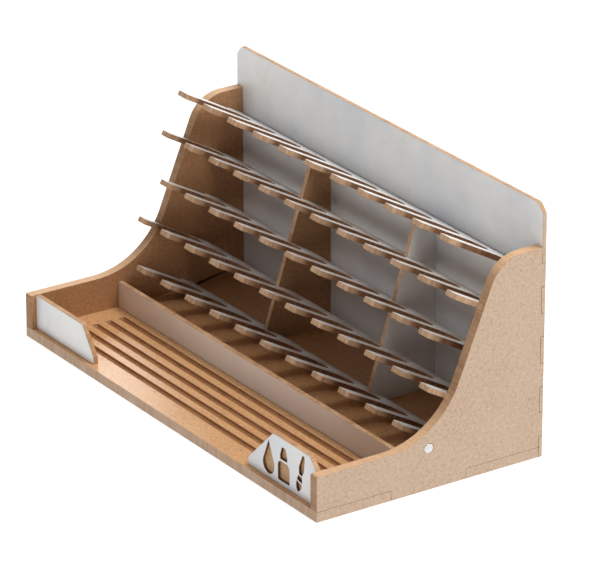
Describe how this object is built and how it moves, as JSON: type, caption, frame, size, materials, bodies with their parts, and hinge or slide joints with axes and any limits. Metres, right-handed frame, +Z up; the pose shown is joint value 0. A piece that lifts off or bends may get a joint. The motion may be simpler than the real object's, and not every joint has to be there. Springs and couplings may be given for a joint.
{
  "type": "paint rack organizer",
  "caption": "Tabletop rack with stepped, slotted shelves that cradle lying dropper bottles, a grooved front tray and a tall back board.",
  "frame": {"origin": "middle of the footprint, on the surface that the rack stands on", "axes": "+X along the width towards the rack's right side as seen by a person facing it, +Y from the tray towards the back board, +Z up"},
  "size_m": [0.3, 0.15, 0.15],
  "materials": {
    "mdf_board": "raw fibreboard, satin, with laser-browned edges",
    "white_faced_board": "thin fibreboard with a white laminate face and laser-browned edges",
    "magnet": "bright nickel-plated disc"
  },
  "bodies": {
    "root": {"base_plate": "mdf_board", "side_panel_left": "mdf_board", "side_panel_right": "mdf_board", "back_panel": "white_faced_board", "shelf_1": "white_faced_board", "shelf_2": "white_faced_board", "shelf_3": "white_faced_board", "shelf_4": "white_faced_board", "shelf_5": "white_faced_board", "divider_left": "white_faced_board", "divider_right": "white_faced_board", "tray_rear_wall": "white_faced_board", "fascia_left": "white_faced_board", "fascia_right": "white_faced_board", "magnet_left": "magnet", "magnet_right": "magnet"}
  },
  "joints": []
}
